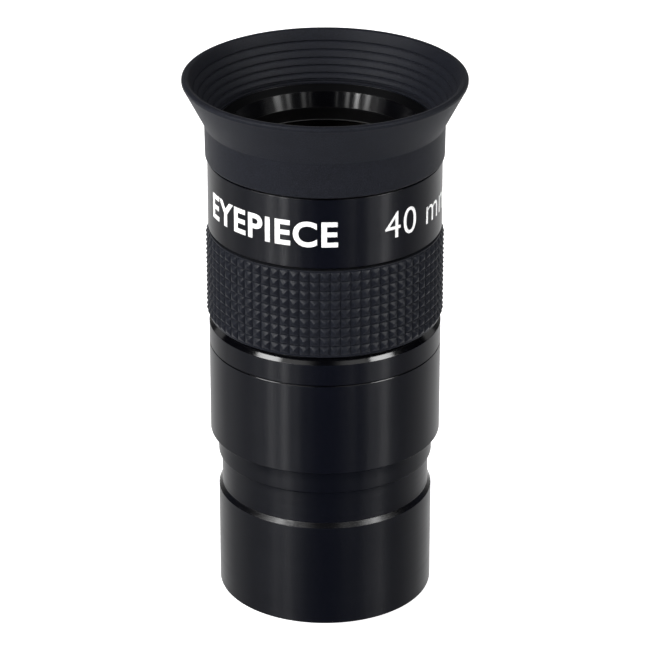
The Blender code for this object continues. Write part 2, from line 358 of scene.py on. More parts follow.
class Face(Enum):
    """Finish of a stretch of a turned piece."""
    SATIN = TurnedMetal("anodised_aluminium_turned", "04050a", "090a11", 0.33, 1.0, 0.10, 0.08)
    BARREL = TurnedMetal(
        "anodised_aluminium_barrel", "04050a", "080910", 0.35, 0.94, 0.10, 0.08, 0.42
    )
    RING = TurnedMetal("anodised_aluminium_fine_turned", "04050a", "090a11", 0.33, 1.0, 0.08, 0.05)
    CUT = TurnedMetal("anodised_aluminium_diamond_cut", "040406", "08080b", 0.12, 0.40, 0.06, 0.06)
    BEVEL = TurnedMetal("anodised_aluminium_bevelled", "050507", "0a0a0d", 0.21, 0.10, 0.14, 0.50)
    WELL = TurnedMetal("anodised_aluminium_polished", "040406", "08080b", 0.20, 1.0, 0.12, 0.03)
    LEDGE = TurnedMetal(
        "anodised_aluminium_faced", "030304", "070709", 0.45, 0.30, 0.16, 0.50, 0.12
    )
    BORE = TurnedMetal(
        "anodised_aluminium_matt_bore", "030304", "070708", 0.60, 0.30, 0.35, 0.60, 0.2
    )
    BLACKED = TurnedMetal("blackened_aluminium", "08080a", "111113", 0.58, 0.20, 0.20, 0.50)
    GRIP = MouldedRubber("nitrile_rubber_moulded_grip", "0d0f16", "191c25", 0.12, 0.38, 0.60, 0.36)
    CUP = MouldedRubber("silicone_rubber_moulded_cup", "0b0c12", "1e212b", 0.15, 0.53, 1.00, 0.26)
    INK = PrintedInk("pad_printed_white_ink", "f8f8f6", "dadcdd")
    FLINT = CoatedGlass("flint_glass_coated", "e4e8f2", "d6dce8", 1.62)
    CROWN = CoatedGlass("crown_glass_coated", "eef4f2", "e2eae6", 1.52)


class Finishes:
    """The materials, each made once when a piece first needs it."""

    def __init__(self) -> None:
        """Start with none made."""
        self.made: dict[Face, bpy.types.Material] = {}

    def get(self, face: Face) -> bpy.types.Material:
        """Give the material of a finish, and make it on the first call.

        Args:
            face: the finish.

        Returns:
            Its material.
        """
        if face not in self.made:
            self.made[face] = face.value.make()
        return self.made[face]


# ---------------------------------------------------------------- turned outlines


@dataclass(frozen=True)
class Corner:
    """One corner of a turned outline.

    Attributes:
        radius: distance from the axis, mm.
        height: height above the barrel's end, mm.
        rounding: radius of the corner's rounding, mm.
        face: finish from this corner to the next one, or None for the piece's own.
    """
    radius: float
    height: float
    rounding: float = 0.0
    face: Face | None = None

    @property
    def point(self) -> Vector:
        """The corner as a vector of radius and height."""
        return Vector((self.radius, self.height))


def rounded_corner(before: Vector, corner: Corner, after: Vector) -> list[Vector]:
    """Replace a corner by an arc, with a guard point at each end.

    Args:
        before: the corner before it.
        corner: the corner.
        after: the corner after it.

    Returns:
        Points along the arc, from the first side to the second.
    """
    middle = corner.point
    back = before - middle
    ahead = after - middle
    if corner.rounding == 0 or back.length == 0 or ahead.length == 0:
        return [middle]
    turn = math.pi - back.angle(ahead)
    if turn < math.radians(2):
        return [middle]
    room = 0.42 * min(back.length, ahead.length)
    reach = min(corner.rounding * math.tan(turn / 2), room)
    radius = reach / math.tan(turn / 2)
    start = middle + back.normalized() * reach
    end = middle + ahead.normalized() * reach
    bisector = (back.normalized() + ahead.normalized()).normalized()
    centre = middle + bisector * (radius / math.cos(turn / 2))
    steps = max(2, math.ceil(turn / ARC_STEP))
    points = []
    first = start - centre
    sweep = first.angle_signed(end - centre)
    for index in range(steps + 1):
        angle = -sweep * index / steps
        turned = Vector((
            first.x * math.cos(angle) - first.y * math.sin(angle),
            first.x * math.sin(angle) + first.y * math.cos(angle),
        ))
        points.append(centre + turned)
    guard = min(GUARD, 0.2 * min(back.length, ahead.length))
    if reach + guard < 0.49 * back.length:
        points.insert(0, start + back.normalized() * guard)
    if reach + guard < 0.49 * ahead.length:
        points.append(end + ahead.normalized() * guard)
    return points


def outline(corners: Sequence[Corner], closed: bool) -> list[tuple[Vector, Face | None]]:
    """Round an outline's corners.

    Args:
        corners: the corners, down the outer side and then up the inner one.
        closed: whether the last corner joins the first.

    Returns:
        Points, each with the finish of the stretch that follows it.
    """
    count = len(corners)
    result = []
    for index, corner in enumerate(corners):
        ends = not closed and index in (0, count - 1)
        before = corners[index - 1]
        after = corners[(index + 1) % count]
        points = [corner.point] if ends else rounded_corner(before.point, corner, after.point)
        result += [(point, corner.face) for point in points]
    return result


def broken_edge(radius: float, height: float, width: float, after: Face) -> list[Corner]:
    """Break the lower outer edge of a turned piece with a small bright cut.

    Args:
        radius: outer radius of the piece, mm.
        height: height of its lower face, mm.
        width: width of the cut, mm.
        after: finish of the lower face.

    Returns:
        The two corners of the cut.
    """
    return [
        Corner(radius, height + width, 0.02, Face.CUT),
        Corner(radius - width, height, 0.02, after),
    ]


def turn(
    name: str,
    corners: Sequence[Corner],
    finish: Face,
    finishes: Finishes,
    closed: bool = True,
    steps: int = TURN_STEPS,
    start: float = 0.0,
) -> Item:
    """Sweep an outline about Z.

    Args:
        name: name of the piece.
        corners: the outline, down the outer side and then up the inner one.
        finish: the piece's own finish.
        finishes: the materials.
        closed: whether the last corner joins the first. An open outline that starts and ends on
            the axis makes a solid with closed poles.
        steps: faces around.
        start: angle of the first step, in radians.

    Returns:
        The piece, linked to the scene.
    """
    points = outline(corners, closed)
    shape = bmesh.new()
    rings = []
    for point, _ in points:
        if point.x < WELD_DISTANCE / MM:
            rings.append([shape.verts.new((0.0, 0.0, point.y * MM))] * steps)
            continue
        ring = []
        for step in range(steps):
            angle = start + 2 * math.pi * step / steps
            place = (point.x * math.cos(angle), point.x * math.sin(angle), point.y)
            ring.append(shape.verts.new(Vector(place) * MM))
        rings.append(ring)
    faces = [finish]
    spans = len(points) if closed else len(points) - 1
    for index in range(spans):
        face = points[index][1] or finish
        if face not in faces:
            faces.append(face)
        upper = rings[index]
        lower = rings[(index + 1) % len(rings)]
        for step in range(steps):
            after = (step + 1) % steps
            around = [upper[step], lower[step], lower[after], upper[after]]
            distinct = list(dict.fromkeys(around))
            quad = shape.faces.new(distinct)
            quad.material_index = faces.index(face)
            quad.smooth = True
    mesh = bpy.data.meshes.new(name)
    shape.to_mesh(mesh)
    shape.free()
    for face in faces:
        mesh.materials.append(finishes.get(face))
    mesh.set_sharp_from_angle(angle=SHARP_ANGLE)
    item = add_object(name, mesh)
    return item


def place(item: Item, body: str, slot: str, nodes: Sequence[str] = ()) -> Item:
    """Hang a finished piece on its body and log it.

    Args:
        item: the piece.
        body: CAD body that it rides on.
        slot: the record's material slot; not used.
        nodes: CAD nodes that it stands for.

    Returns:
        The piece.
    """
    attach(item, body)
    if nodes:
        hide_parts(*nodes)
        agree(item, nodes)
    report(item)
    return item


def agree(item: Item, nodes: Sequence[str]) -> None:
    """Check that a piece fills the same box as the CAD nodes that it stands for.

    Args:
        item: the piece, at the origin.
        nodes: the CAD nodes.

    Raises:
        ValueError: if a side of the two boxes is further apart than CAD_TOLERANCE.
    """
    boxes = [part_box(node) for node in nodes]
    points = [vertex.co for vertex in item.data.vertices]
    for axis, letter in enumerate("XYZ"):
        wanted = (min(low[axis] for low, _ in boxes), max(high[axis] for _, high in boxes))
        found = (min(point[axis] for point in points), max(point[axis] for point in points))
        gap = max(abs(one - other) for one, other in zip(wanted, found))
        if gap > CAD_TOLERANCE:
            raise ValueError(f"{item.name} is {gap / MM:.2f} mm off the CAD along {letter}")


def report(item: Item) -> None:
    """Log a piece's name and size."""
    item.data.calc_loop_triangles()
    LOG.info("%s: %d triangles", item.name, len(item.data.loop_triangles))


# ---------------------------------------------------------------- geometry nodes


def new_tree(name: str, *numbers: str) -> tuple[Tree, bpy.types.NodeOutputs]:
    """Start a geometry node tree.

    Args:
        name: the tree's name.
        numbers: names of its number inputs, which stand between Geometry and Material.

    Returns:
        The tree and its inputs' sockets.
    """
    tree = bpy.data.node_groups.new(name, "GeometryNodeTree")
    for label, way, kind in (
        ("Geometry", "INPUT", "Geometry"), ("Geometry", "OUTPUT", "Geometry"),
        *((number, "INPUT", "Float") for number in numbers), ("Material", "INPUT", "Material"),
    ):
        tree.interface.new_socket(label, in_out=way, socket_type=f"NodeSocket{kind}")
    return tree, tree.nodes.new("NodeGroupInput").outputs


def end_tree(tree: Tree, geometry: Socket, material: Socket) -> None:
    """Realise instances, weld, set the material and link the output."""
    solid = add_node(tree, "GeometryNodeRealizeInstances", {0: geometry}).outputs[0]
    welding = {"Geometry": solid, "Distance": 2 * WELD_DISTANCE}
    welded = add_node(tree, "GeometryNodeMergeByDistance", welding).outputs[0]
    dressing = {"Geometry": welded, "Material": material}
    dressed = add_node(tree, "GeometryNodeSetMaterial", dressing).outputs[0]
    add_node(tree, "NodeGroupOutput", {0: dressed})


def grow(item: Item, tree: Tree, values: dict[str, object]) -> Item:
    """Run a geometry node tree and the modifiers after it, and keep the result as a plain mesh.

    Args:
        item: object that the tree works on, with any later modifiers already added.
        tree: the tree.
        values: the tree's inputs by name.

    Returns:
        The same object with its final mesh and no modifiers.
    """
    modifier = item.modifiers.new(tree.name, "NODES")
    item.modifiers.move(len(item.modifiers) - 1, 0)
    modifier.node_group = tree
    identifiers = {
        socket.name: socket.identifier
        for socket in tree.interface.items_tree
        if socket.item_type == "SOCKET" and socket.in_out == "INPUT"
    }
    for label, value in values.items():
        modifier[identifiers[label]] = value
    return freeze(item)


def freeze(item: Item) -> Item:
    """Keep an object's evaluated mesh and remove its modifiers."""
    mesh = final_mesh(item)
    item.modifiers.clear()
    item.data = mesh
    mesh.name = item.name
    return item


def thread_tree() -> Tree:
    """Build the tree of a screw thread: a diamond swept along a helix."""
    tree, given = new_tree("screw_thread", "Radius", "Pitch", "Turns", "Height")
    helix = add_node(tree, "GeometryNodeCurveSpiral", {
        "Resolution": 64, "Rotations": given["Turns"], "Start Radius": given["Radius"],
        "End Radius": given["Radius"],
        "Height": calculate(tree, "MULTIPLY", given["Pitch"], given["Turns"]),
    })
    half = calculate(tree, "MULTIPLY", given["Pitch"], 0.48)
    section = add_node(tree, "GeometryNodeCurvePrimitiveCircle", {"Resolution": 4, "Radius": half})
    swept = add_node(tree, "GeometryNodeCurveToMesh", {
        "Curve": helix.outputs[0], "Profile Curve": section.outputs[0], "Fill Caps": True,
    })
    lift = add_node(tree, "ShaderNodeCombineXYZ", {2: given["Height"]}).outputs[0]
    raising = {"Geometry": swept.outputs[0], "Translation": lift}
    raised = add_node(tree, "GeometryNodeTransform", raising).outputs[0]
    end_tree(tree, raised, given["Material"])
    return tree


def cut_thread(
    name: str,
    tree: Tree,
    radius: float,
    pitch: float,
    start: float,
    length: float,
    material: bpy.types.Material,
) -> Item:
    """Make a screw thread.

    Args:
        name: name of the piece.
        tree: the thread's tree.
        radius: radius of the wall that the thread stands on, mm.
        pitch: mm.
        start: height of its first turn, mm.
        length: mm.
        material: its finish.

    Returns:
        The thread as a plain mesh.
    """
    item = add_object(name, bpy.data.meshes.new(name))
    return grow(item, tree, {
        "Radius": radius * MM,
        "Pitch": pitch * MM,
        "Turns": length / pitch,
        "Height": start * MM,
        "Material": material,
    })


def grip_tree() -> Tree:
    """Build the tree that raises a square pyramid from every facet of the grip's outer face."""
    tree, given = new_tree(
        "grip_studs", "Radius", "Low", "High", "Groove", "Wall", "Stud Height", "Tip"
    )

    def raise_faces(mesh: Socket, chosen: Socket, height: object) -> tuple[Socket, Socket]:
        """Extrude every chosen face by itself, and give the mesh and the raised faces."""
        inputs = {"Mesh": mesh, "Selection": chosen, "Offset Scale": height, "Individual": True}
        outputs = add_node(tree, "GeometryNodeExtrudeMesh", inputs, mode="FACES").outputs
        return outputs["Mesh"], outputs["Top"]

    def shrink(mesh: Socket, chosen: Socket, share: Socket) -> Socket:
        """Scale every chosen face about its middle."""
        inputs = {"Geometry": mesh, "Selection": chosen, "Scale": share}
        kind = "GeometryNodeScaleElements"
        return add_node(tree, kind, inputs, domain="FACE", scale_mode="UNIFORM").outputs[0]

    where = add_node(tree, "GeometryNodeInputPosition").outputs[0]
    axes = add_node(tree, "ShaderNodeSeparateXYZ", {0: where}).outputs
    squares = (calculate(tree, "POWER", axes[index], 2.0) for index in (0, 1))
    reach = calculate(tree, "SQRT", calculate(tree, "ADD", *squares))
    limit = calculate(tree, "MULTIPLY", given["Radius"], 0.99)
    outer = calculate(tree, "GREATER_THAN", reach, limit)
    above = calculate(tree, "GREATER_THAN", axes[2], given["Low"])
    below = calculate(tree, "LESS_THAN", axes[2], given["High"])
    facets = calculate(tree, "MULTIPLY", outer, calculate(tree, "MULTIPLY", above, below))
    base, face = raise_faces(given["Geometry"], facets, 0.0)
    wall, top = raise_faces(shrink(base, face, given["Groove"]), face, given["Wall"])
    stud, point = raise_faces(wall, top, given["Stud Height"])
    end_tree(tree, shrink(stud, point, given["Tip"]), given["Material"])
    return tree


# ---------------------------------------------------------------- sub-assemblies


@dataclass
class Barrel:
    """Push-fit 1.25 inch barrel with its safety undercut, filter thread and field stop.

    Attributes:
        radius: outer radius.
        end_edge: rounding of the open end.
        edge: width of the cut that breaks the undercut's upper edge.
        undercut_radius: radius of the safety undercut.
        ramp: heights between which the undercut's lower side slopes.
        undercut_top: top of the undercut.
        bore: inner radius.
        thread_wall: radius of the wall that the filter thread is cut in.
        thread_length: length of the filter thread.
        thread_pitch: pitch of the filter thread.
        stop_seat: height of the seat under the field stop.
        upper_bore: inner radius above the seat.
        shoulder: height of the flange that seats in the lower body.
        neck_radius: radius of the neck that screws into the lower body.
        neck_length: length of the neck.
        stop_radius: clear radius of the field stop.
        stop_height: height of the field stop.
    """
    radius: float = 15.85
    end_edge: float = 0.22
    edge: float = 0.13
    undercut_radius: float = 15.35
    ramp: tuple[float, float] = (15.86, 16.55)
    undercut_top: float = 21.6
    bore: float = 13.9
    thread_wall: float = 14.26
    thread_length: float = 4.5
    thread_pitch: float = 0.6
    stop_seat: float = 20.0
    upper_bore: float = 14.4
    shoulder: float = 25.72
    neck_radius: float = 15.0
    neck_length: float = 4.45
    stop_radius: float = 13.4
    stop_height: float = 1.4

    def build(self, finishes: Finishes, thread: Tree) -> None:
        """Build and dress the barrel, its threads and the field stop."""
        top = self.shoulder + self.neck_length
        low, high = self.ramp
        shell = turn("barrel_shell", [
            Corner(self.neck_radius, top, 0.15, Face.BORE),
            Corner(self.neck_radius, self.shoulder, 0.05, Face.BARREL),
            Corner(self.radius, self.shoulder, 0.08),
            *broken_edge(self.radius, self.undercut_top, self.edge, Face.BARREL),
            Corner(self.undercut_radius, self.undercut_top, 0.10),
            Corner(self.undercut_radius, high, 0.08, Face.BEVEL),
            Corner(self.radius, low, 0.06, Face.BARREL),
            Corner(self.radius, 0.0, self.end_edge),
            Corner(self.thread_wall + 0.35, 0.0, 0.05, Face.CUT),
            Corner(self.thread_wall, 0.35, 0.05, Face.BORE),
            Corner(self.thread_wall, self.thread_length, 0.08, Face.BORE),
            Corner(self.bore, self.thread_length + 0.36, 0.08, Face.BORE),
            Corner(self.bore, self.stop_seat, 0.05, Face.BORE),
            Corner(self.upper_bore, self.stop_seat, 0.05, Face.BORE),
            Corner(self.upper_bore, top, 0.10, Face.BORE),
        ], Face.BARREL, finishes)
        place(shell, "housing", "barrel_metal", ["nosepiece_barrel"])

        satin = finishes.get(Face.BARREL)
        filter_thread = cut_thread(
            "filter_thread", thread, self.thread_wall, self.thread_pitch,
            0.6, self.thread_length - 0.9, satin,
        )
        place(filter_thread, "housing", "barrel_metal")
        neck_thread = cut_thread(
            "neck_thread", thread, self.neck_radius - 0.12, 0.5,
            self.shoulder + 0.8, self.neck_length - 1.4, satin,
        )
        place(neck_thread, "housing", "barrel_metal")
        self.build_field_stop(finishes)

    def build_field_stop(self, finishes: Finishes) -> None:
        """Build the ring with a bevelled edge that bounds the field of view."""
        bottom = self.stop_seat + 0.03
        top = bottom + self.stop_height
        outer = self.upper_bore - 0.03
        ring = turn("field_stop", [
            Corner(outer, top, 0.08),
            Corner(outer, bottom, 0.08),
            Corner(self.stop_radius, bottom, 0.03),
            Corner(self.stop_radius, bottom + 0.3, 0.03),
            Corner(self.stop_radius + 0.37, top, 0.08),
        ], Face.BLACKED, finishes)
        place(ring, "housing", "blackened_metal", ["field_stop_ring"])


@dataclass
class LowerBody:
    """Lower housing between the focuser's shoulder and the seam.

    Attributes:
        radius: outer radius.
        shoulder: height of the face that stops against the focuser.
        seam: height of the seam to the upper housing.
        edge: width of the cut that breaks its upper edge.
        shoulder_edge: width of the cut that breaks its lower edge.
        counterbore: radius and depth of the seat for the barrel's flange.
        neck_bore: radius of the threaded bore for the barrel's neck.
        neck_depth: depth of that bore.
        spigot: radius and length of the threaded spigot above the seam.
        bore: inner radius.
    """
    radius: float = 17.0
    shoulder: float = 25.3
    seam: float = 39.42
    edge: float = 0.06
    shoulder_edge: float = 0.14
    counterbore: tuple[float, float] = (15.9, 0.45)
    neck_bore: float = 15.2
    neck_depth: float = 4.7
    spigot: tuple[float, float] = (15.2, 3.15)
    bore: float = 14.4

    def build(self, finishes: Finishes, thread: Tree) -> None:
        """Build and dress the lower housing."""
        seat_radius, seat_depth = self.counterbore
        seat = self.shoulder + seat_depth
        spigot_radius, spigot_length = self.spigot
        top = self.seam + spigot_length
        shell = turn("lower_shell", [
            Corner(spigot_radius, top, 0.15, Face.BORE),
            Corner(spigot_radius, self.seam, 0.05, Face.SATIN),
            Corner(self.radius - self.edge, self.seam, 0.02, Face.CUT),
            Corner(self.radius, self.seam - self.edge, 0.02, Face.SATIN),
            *broken_edge(self.radius, self.shoulder, self.shoulder_edge, Face.SATIN),
            Corner(seat_radius, self.shoulder, 0.04, Face.BORE),
            Corner(seat_radius, seat, 0.05, Face.BORE),
            Corner(self.neck_bore, seat, 0.05, Face.BORE),
            Corner(self.neck_bore, seat + self.neck_depth, 0.05, Face.BORE),
            Corner(self.bore, seat + self.neck_depth, 0.10, Face.BORE),
            Corner(self.bore, top, 0.10, Face.BORE),
        ], Face.SATIN, finishes)
        place(shell, "housing", "body_metal", ["lower_body"])
        join_thread = cut_thread(
            "join_thread", thread, spigot_radius - 0.13, 0.5,
            self.seam + 0.7, spigot_length - 1.2, finishes.get(Face.SATIN),
        )
        place(join_thread, "housing", "body_metal")


@dataclass
class Mark:
    """Lettering printed round the housing's plain ring.

    Attributes:
        name: name of the piece.
        words: what it says.
        height: height of its capitals.
        middle: height of its centre line.
        start: angle of its left end, in degrees from the front.
        weight: how far its strokes are thickened.
        spacing: distance between letters, as a share of the font's own.
        stretch: width of its letters, as a share of the font's own.
    """
    name: str
    words: str
    height: float
    middle: float
    start: float
    weight: float
    spacing: float
    stretch: float = 1.0

    def build(self, radius: float, finishes: Finishes) -> None:
        """Set the words, cut them into narrow strips and wrap them round the ring.

        Args:
            radius: radius of the ring, mm.
            finishes: the materials.
        """
        text = bpy.data.curves.new(self.name, "FONT")
        text.body = self.words
        text.size = self.height * MM / CAPITAL_SHARE
        text.offset = self.weight * MM
        text.space_character = self.spacing
        text.resolution_u = 6
        writer = add_object(self.name, text)
        mesh = final_mesh(writer)
        bpy.data.objects.remove(writer)
        item = add_object(self.name, self.wrap(mesh, radius))
        item.data.materials.clear()
        item.data.materials.append(finishes.get(Face.INK))
        place(item, "housing", "body_metal")

    def wrap(self, mesh: bpy.types.Mesh, radius: float) -> bpy.types.Mesh:
        """Thicken flat letters and wrap them round the axis.

        Args:
            mesh: flat letters in the XY plane, metres.
            radius: radius of the ring, mm.

        Returns:
            The same mesh, wrapped.
        """
        strip = 0.35 * MM
        film = 0.02 * MM
        shape = bmesh.new()
        shape.from_mesh(mesh)
        bmesh.ops.remove_doubles(shape, verts=shape.verts, dist=WELD_DISTANCE)
        left = min(vert.co.x for vert in shape.verts)
        right = max(vert.co.x for vert in shape.verts)
        low = min(vert.co.y for vert in shape.verts)
        high = max(vert.co.y for vert in shape.verts)
        for index in range(1, int((right - left) / strip) + 1):
            bmesh.ops.bisect_plane(
                shape, geom=shape.verts[:] + shape.edges[:] + shape.faces[:],
                dist=WELD_DISTANCE / 10, plane_co=(left + index * strip, 0, 0), plane_no=(1, 0, 0),
            )
        fronts = shape.faces[:]
        raised = bmesh.ops.extrude_face_region(shape, geom=fronts)
        for element in raised["geom"]:
            if isinstance(element, bmesh.types.BMVert):
                element.co.z += film
        bmesh.ops.recalc_face_normals(shape, faces=shape.faces)
        for vert in shape.verts:
            x, y, z = vert.co
            angle = math.radians(self.start) + (x - left) * self.stretch / (radius * MM)
            reach = radius * MM + z - film / 2
            height = y - (low + high) / 2 + self.middle * MM
            vert.co = (reach * math.sin(angle), -reach * math.cos(angle), height)
        shape.to_mesh(mesh)
        shape.free()
        return mesh


@dataclass
class UpperHousing:
    """Upper housing: seam, cut chamfer, grip seat, marked ring, spigot, well and lens stop.

    Attributes:
        radius: outer radius.
        seam: height of its lower face.
        seam_edge: width of the cut that breaks its lower edge.
        chamfer: width of the cut chamfer under the grip.
        seat: heights of the grip's seat.
        seat_radius: radius of the grip's seat.
        top: height of the ring's upper face.
        spigot_radius: radius of the spigot that holds the eyecup.
        spigot_top: height of its top.
        groove: heights of the groove for the cup's bead.
        groove_depth: depth of that groove.
        well_radius: radius at the bottom and the mouth of the polished, slightly conical well.
        well_top: height of the well's upper edge.
        stop: heights of the lip that holds the eye lens.
        stop_radius: clear radius of that lip.
        seat_land: width of the bright cut above the eye lens, inside the lip.
        bore: radius of the bore that holds the lenses.
        join: radius and depth of the threaded bore at the seam.
    """
    radius: float = 17.0
    seam: float = 39.55
    seam_edge: float = 0.06
    chamfer: float = 0.75
    seat: tuple[float, float] = (43.5, 57.92)
    seat_radius: float = 15.9
    top: float = 68.39
    spigot_radius: float = 15.7
    spigot_top: float = 73.6
    groove: tuple[float, float] = (70.2, 71.4)
    groove_depth: float = 0.5
    well_radius: tuple[float, float] = (13.5, 14.25)
    well_top: float = 72.78
    stop: tuple[float, float] = (68.54, 70.56)
    stop_radius: float = 13.3
    seat_land: float = 0.08
    bore: float = 14.4
    join: tuple[float, float] = (15.45, 3.3)

    def build(self, finishes: Finishes) -> None:
        """Build and dress the upper housing and its printed marks."""
        seat_bottom, seat_top = self.seat
        groove_bottom, groove_top = self.groove
        groove_radius = self.spigot_radius - self.groove_depth
        stop_bottom, stop_top = self.stop
        join_radius, join_depth = self.join
        well_bottom, well_mouth = self.well_radius
        outside = [
            Corner(self.spigot_radius, self.spigot_top, 0.15, Face.SATIN),
            Corner(self.spigot_radius, groove_top, 0.05),
            Corner(groove_radius, groove_top, 0.10),
            Corner(groove_radius, groove_bottom, 0.10),
            Corner(self.spigot_radius, groove_bottom, 0.05),
            Corner(self.spigot_radius, self.top, 0.06),
            Corner(self.radius, self.top, 0.10, Face.RING),
            Corner(self.radius, seat_top, 0.08, Face.SATIN),
            Corner(self.seat_radius, seat_top, 0.06),
            Corner(self.seat_radius, seat_bottom, 0.06),
            Corner(self.radius - self.chamfer, seat_bottom, 0.04, Face.CUT),
            Corner(self.radius, seat_bottom - self.chamfer, 0.04, Face.SATIN),
            *broken_edge(self.radius, self.seam, self.seam_edge, Face.SATIN),
        ]
        inside = [
            Corner(join_radius, self.seam, 0.05, Face.BORE),
            Corner(join_radius, self.seam + join_depth, 0.05, Face.BORE),
            Corner(self.bore, self.seam + join_depth, 0.10, Face.BORE),
            Corner(self.bore, stop_bottom, 0.05, Face.BORE),
            Corner(self.stop_radius, stop_bottom, 0.02, Face.BORE),
            Corner(self.stop_radius, stop_bottom + self.seat_land, 0.01, Face.BLACKED),
            Corner(self.stop_radius + self.seat_land, stop_bottom + 2 * self.seat_land, 0.01,
                   Face.LEDGE),
            Corner(self.stop_radius + self.seat_land, stop_top, 0.04, Face.LEDGE),
            Corner(well_bottom, stop_top, 0.03, Face.WELL),
            Corner(well_mouth, self.well_top, 0.10, Face.LEDGE),
        ]
        shell = turn("upper_shell", outside + inside, Face.SATIN, finishes)
        place(shell, "housing", "body_metal", ["upper_housing"])
        Mark("mark_word", "EYEPIECE", 3.8, 63.1, -70.5, 0.14, 1.10).build(self.radius, finishes)
        Mark("mark_size", "40 mm", 4.3, 63.3, 30.0, -0.02, 1.06).build(self.radius, finishes)


@dataclass
class RubberGrip:
    """Rubber ring whose outer face is raised into rows of square pyramids.

    Attributes:
        heights: bottom and top of the ring.
        inner_radius: radius of its bore.
        valley_radius: radius between the pyramids.
        columns: pyramids round the ring.
        rows: pyramids from bottom to top.
        pitch: height of a row.
        lower_edge: plain band under the first row.
        stud_share: width of a pyramid, as a share of the pitch; the rest is groove.
        wall: height of a pyramid's upright foot.
        stud_height: height of a pyramid above its foot.
        tip: width of a pyramid's tip, as a share of its foot.
        softening: width of the rounding of every edge.
    """
    heights: tuple[float, float] = (44.03, 57.43)
    inner_radius: float = 15.93
    valley_radius: float = 16.95
    columns: int = 72
    rows: int = 9
    pitch: float = 1.44
    lower_edge: float = 0.29
    stud_share: float = 0.88
    wall: float = 0.10
    stud_height: float = 0.33
    tip: float = 0.05
    softening: float = 0.035

    def build(self, finishes: Finishes) -> None:
        """Build the plain band, grow its studs, soften every edge and dress it."""
        bottom, top = self.heights
        first = bottom + self.lower_edge
        last = first + self.rows * self.pitch
        rows = [
            Corner(self.valley_radius, last - row * self.pitch) for row in range(self.rows + 1)
        ]
        band = turn("grip_sleeve", [
            Corner(self.valley_radius, bottom),
            Corner(self.inner_radius, bottom),
            Corner(self.inner_radius, top),
            Corner(self.valley_radius, top),
            *rows,
        ], Face.GRIP, finishes, steps=self.columns,
            start=math.pi / self.columns - math.pi / 2)
        soften = band.modifiers.new("soft_edges", "BEVEL")
        soften.width = self.softening * MM
        soften.segments = 1
        soften.limit_method = "ANGLE"
        soften.angle_limit = math.radians(12)
        soften.use_clamp_overlap = True
        grow(band, grip_tree(), {
            "Radius": self.valley_radius * MM,
            "Low": first * MM,
            "High": last * MM,
            "Groove": self.stud_share,
            "Wall": self.wall * MM,
            "Stud Height": self.stud_height * MM,
            "Tip": self.tip,
            "Material": finishes.get(Face.GRIP),
        })
        band.data.shade_smooth()
        place(band, "housing", "grip_rubber", ["rubber_grip"])


